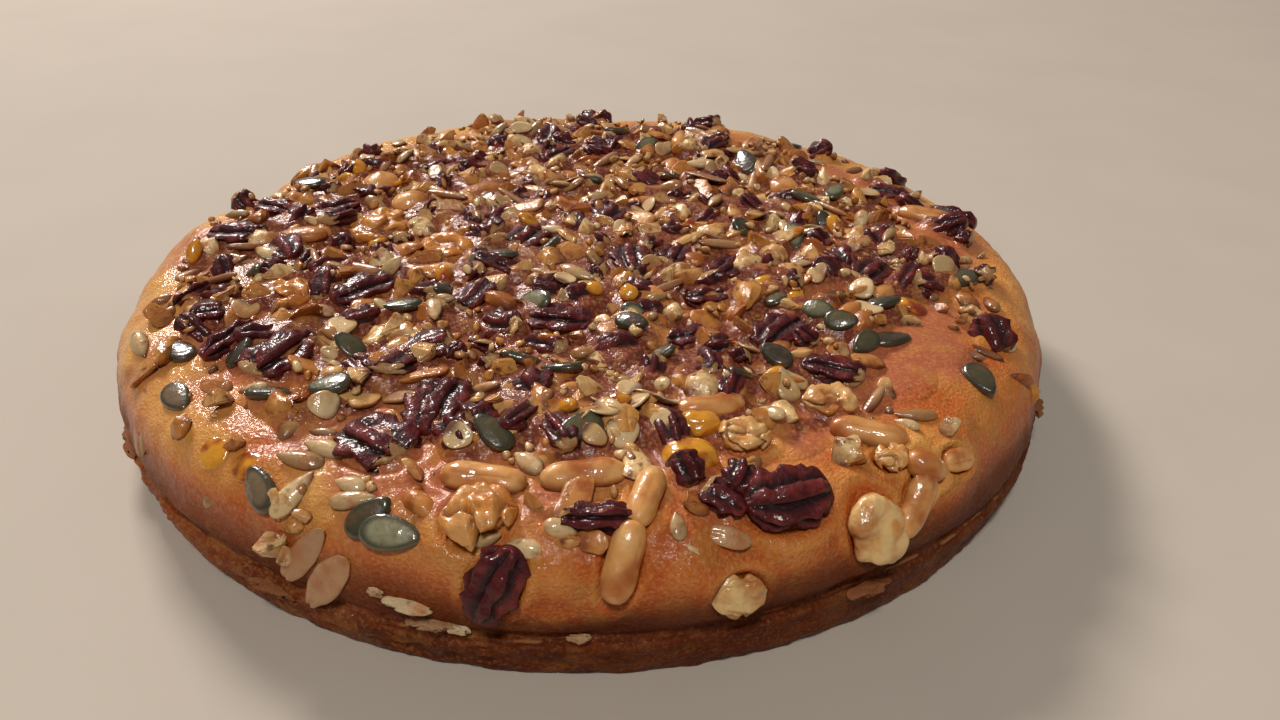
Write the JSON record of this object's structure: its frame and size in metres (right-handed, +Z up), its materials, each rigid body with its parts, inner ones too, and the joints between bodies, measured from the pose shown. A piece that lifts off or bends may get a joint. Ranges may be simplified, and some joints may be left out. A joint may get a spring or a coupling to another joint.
{
  "type": "fruit and nut cake",
  "caption": "Low round sponge cake with a golden baked crust, its top covered with glazed pecans, peanuts, walnut pieces, seeds and candied fruit.",
  "frame": {"origin": "centre of the tin's circle, on the flat underside of the cake", "axes": "+Z up from the underside to the topping, along the tin's axis; -Y is the side with the pecan and the broad peanut low on the shoulder"},
  "size_m": [0.2603, 0.2635, 0.0427],
  "materials": {
    "crust": "golden-brown baked sponge crust with a sticky glaze on top",
    "pecan": "dark red-brown glazed pecan",
    "peanut": "tan roasted peanut or hazelnut under glaze",
    "walnut": "pale golden walnut under glaze",
    "almond": "roasted almond under glaze",
    "candied": "amber candied fruit"
  },
  "bodies": {
    "root": {"almond_01": "almond", "almond_02": "almond", "almond_03": "almond", "cake": "crust", "candied_01": "candied", "candied_02": "candied", "hazelnut_01": "peanut", "hazelnut_02": "peanut", "hazelnut_03": "peanut", "hazelnut_04": "peanut", "peanut_01": "peanut", "peanut_02": "peanut", "peanut_03": "peanut", "peanut_04": "peanut", "peanut_05": "peanut", "peanut_06": "peanut", "peanut_07": "peanut", "peanut_08": "peanut", "peanut_09": "peanut", "peanut_10": "peanut", "peanut_11": "peanut", "peanut_12": "peanut", "pecan_01": "pecan", "pecan_02": "pecan", "pecan_03": "pecan", "pecan_04": "pecan", "pecan_05": "pecan", "pecan_06": "pecan", "pecan_07": "pecan", "pecan_08": "pecan", "pecan_09": "pecan", "pecan_10": "pecan", "pecan_11": "pecan", "pecan_12": "pecan", "pecan_13": "pecan", "pecan_14": "pecan", "pecan_15": "pecan", "pecan_16": "pecan", "pecan_17": "pecan", "pecan_18": "pecan", "pecan_19": "pecan", "pecan_20": "pecan", "pecan_21": "pecan", "pecan_22": "pecan", "pecan_23": "pecan", "pecan_24": "pecan", "pecan_25": "pecan", "pecan_26": "pecan", "pecan_27": "pecan", "walnut_01": "walnut", "walnut_02": "walnut", "walnut_03": "walnut", "walnut_04": "walnut", "walnut_05": "walnut", "walnut_06": "walnut", "walnut_07": "walnut", "walnut_08": "walnut", "walnut_09": "walnut", "walnut_10": "walnut", "walnut_11": "walnut"}
  },
  "joints": []
}
